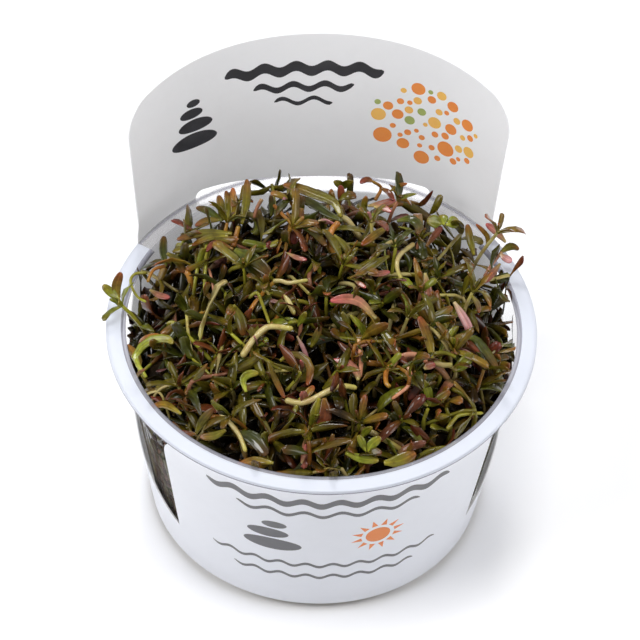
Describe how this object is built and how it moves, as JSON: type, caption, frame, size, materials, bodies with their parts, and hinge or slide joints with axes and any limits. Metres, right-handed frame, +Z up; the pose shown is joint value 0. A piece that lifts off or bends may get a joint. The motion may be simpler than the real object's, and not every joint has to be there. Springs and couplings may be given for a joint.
{
  "type": "rotala plant in a growing cup",
  "caption": "Round clear growing cup filled with leafy rotala stem plants, wrapped in a white card sleeve whose back rises as a tall arched tab behind the rim.",
  "frame": {"origin": "centre of the cup's flat underside, where it rests", "axes": "+Z up along the cup's axis, -Y towards the sleeve's front panel, +Y towards the tall tab"},
  "size_m": [0.1019, 0.1044, 0.0996],
  "materials": {
    "clear_plastic": "gloss",
    "white_card": "satin",
    "growing_gel": "gloss",
    "shaded_leaves": "satin",
    "rotala_leaves": "gloss"
  },
  "bodies": {
    "root": {"card_sleeve": "white_card", "cup": "clear_plastic", "growing_gel": "growing_gel", "shoot_01": "rotala_leaves", "shoot_02": "rotala_leaves", "shoot_03": "rotala_leaves", "shoot_04": "rotala_leaves", "shoot_05": "rotala_leaves", "shoot_06": "rotala_leaves", "shoot_07": "rotala_leaves", "shoot_08": "rotala_leaves", "shoot_09": "rotala_leaves", "shoot_10": "rotala_leaves", "shoot_11": "rotala_leaves", "shoot_12": "rotala_leaves", "shoot_13": "rotala_leaves", "shoot_14": "rotala_leaves", "shoot_15": "rotala_leaves", "shoot_16": "rotala_leaves", "shoot_17": "rotala_leaves", "shoot_18": "rotala_leaves", "shoot_19": "rotala_leaves", "shoot_20": "rotala_leaves", "shoot_21": "rotala_leaves", "shoot_22": "rotala_leaves", "shoot_23": "rotala_leaves", "shoot_24": "rotala_leaves", "shoot_25": "rotala_leaves", "shoot_26": "rotala_leaves", "shoot_27": "rotala_leaves", "shoot_28": "rotala_leaves", "shoot_29": "rotala_leaves", "shoot_30": "rotala_leaves", "shoot_31": "rotala_leaves", "shoot_32": "rotala_leaves", "shoot_33": "rotala_leaves", "shoot_34": "rotala_leaves", "shoot_35": "rotala_leaves", "shoot_36": "rotala_leaves", "shoot_37": "rotala_leaves", "shoot_38": "rotala_leaves", "shoot_39": "rotala_leaves", "shoot_40": "rotala_leaves", "shoot_41": "rotala_leaves", "shoot_42": "rotala_leaves", "shoot_43": "rotala_leaves", "undergrowth": "shaded_leaves"}
  },
  "joints": []
}
